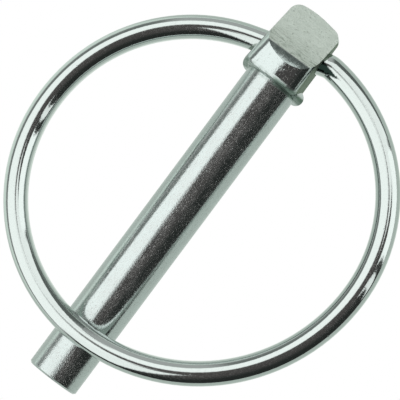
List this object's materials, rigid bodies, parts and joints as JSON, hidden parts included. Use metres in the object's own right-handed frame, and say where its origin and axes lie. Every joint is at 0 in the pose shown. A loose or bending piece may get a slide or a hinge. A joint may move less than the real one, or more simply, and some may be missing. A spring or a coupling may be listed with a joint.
{
  "type": "lynch pin",
  "caption": "Plated steel lynch pin: a plain round shank with a forged square head and a snap ring that swings down over the shank to keep it in its hole.",
  "frame": {"origin": "on the axis of the shank, where its plain round wall begins under the head", "axes": "+X along the shank towards its tip, +Y to the right seen from the front with the head up, +Z to the front, where the ring lies closed"},
  "size_m": [0.0645, 0.0547, 0.0124],
  "materials": {
    "pin_steel": "bright zinc plate over forged steel, pitted and drawn along the shank",
    "ring_steel": "bright zinc plate over smooth wire"
  },
  "bodies": {
    "pin": {"pin": "pin_steel"},
    "ring": {"ring": "ring_steel"}
  },
  "joints": [
    {"name": "ring_swing", "type": "hinge", "parent": "pin", "child": "ring", "pos_m": [-0.00561, 0, -0.0012], "axis": [0.2672, -0.9636, 0], "range_deg": [0, 180]}
  ]
}
